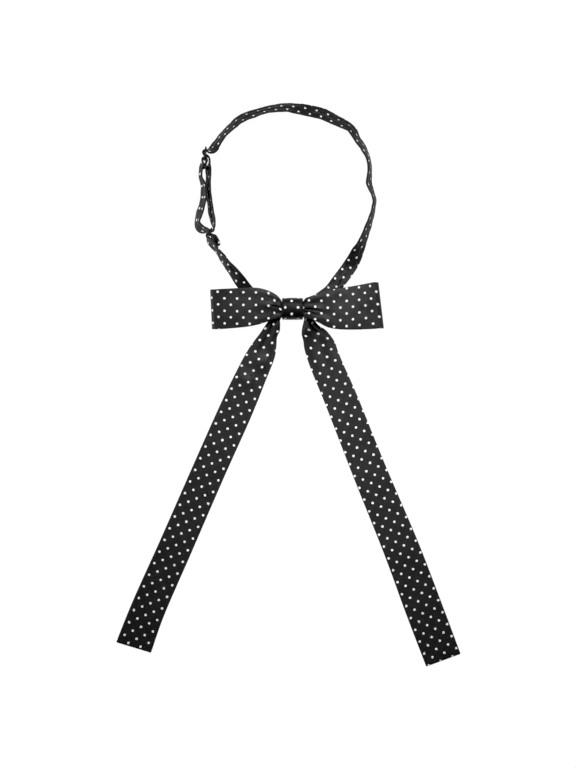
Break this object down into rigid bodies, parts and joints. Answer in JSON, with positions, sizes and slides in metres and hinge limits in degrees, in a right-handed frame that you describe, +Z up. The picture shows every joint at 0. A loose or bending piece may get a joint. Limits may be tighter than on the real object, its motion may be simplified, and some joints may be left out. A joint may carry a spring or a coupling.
{
  "type": "pre-tied bow tie",
  "caption": "Slim pre-tied bow tie in dotted ribbon: hollow gathered loops, a wrapped knot, long flat tails and a neckband with a slide and a link, laid flat and spread open.",
  "frame": {"origin": "under the middle of the knot, on the surface that the tie lies on", "axes": "+Z up from the surface, the side that faces forward when worn; +Y from the tails to the back of the neck; +X to the right in a view from above"},
  "size_m": [0.241, 0.3943, 0.012],
  "materials": {
    "bow_cloth": "soft charcoal weave with small white dots",
    "tail_cloth": "soft charcoal weave with small white dots",
    "band_cloth": "soft charcoal weave with small white dots, creased",
    "adjuster_metal": "satin black coating"
  },
  "bodies": {
    "root": {"knot_wrap": "bow_cloth", "bow_loop_left": "bow_cloth", "bow_loop_right": "bow_cloth", "tail_left": "tail_cloth", "tail_right": "tail_cloth", "neckband_long": "band_cloth", "neckband_short": "band_cloth", "slider": "adjuster_metal", "ring": "adjuster_metal"}
  },
  "joints": []
}
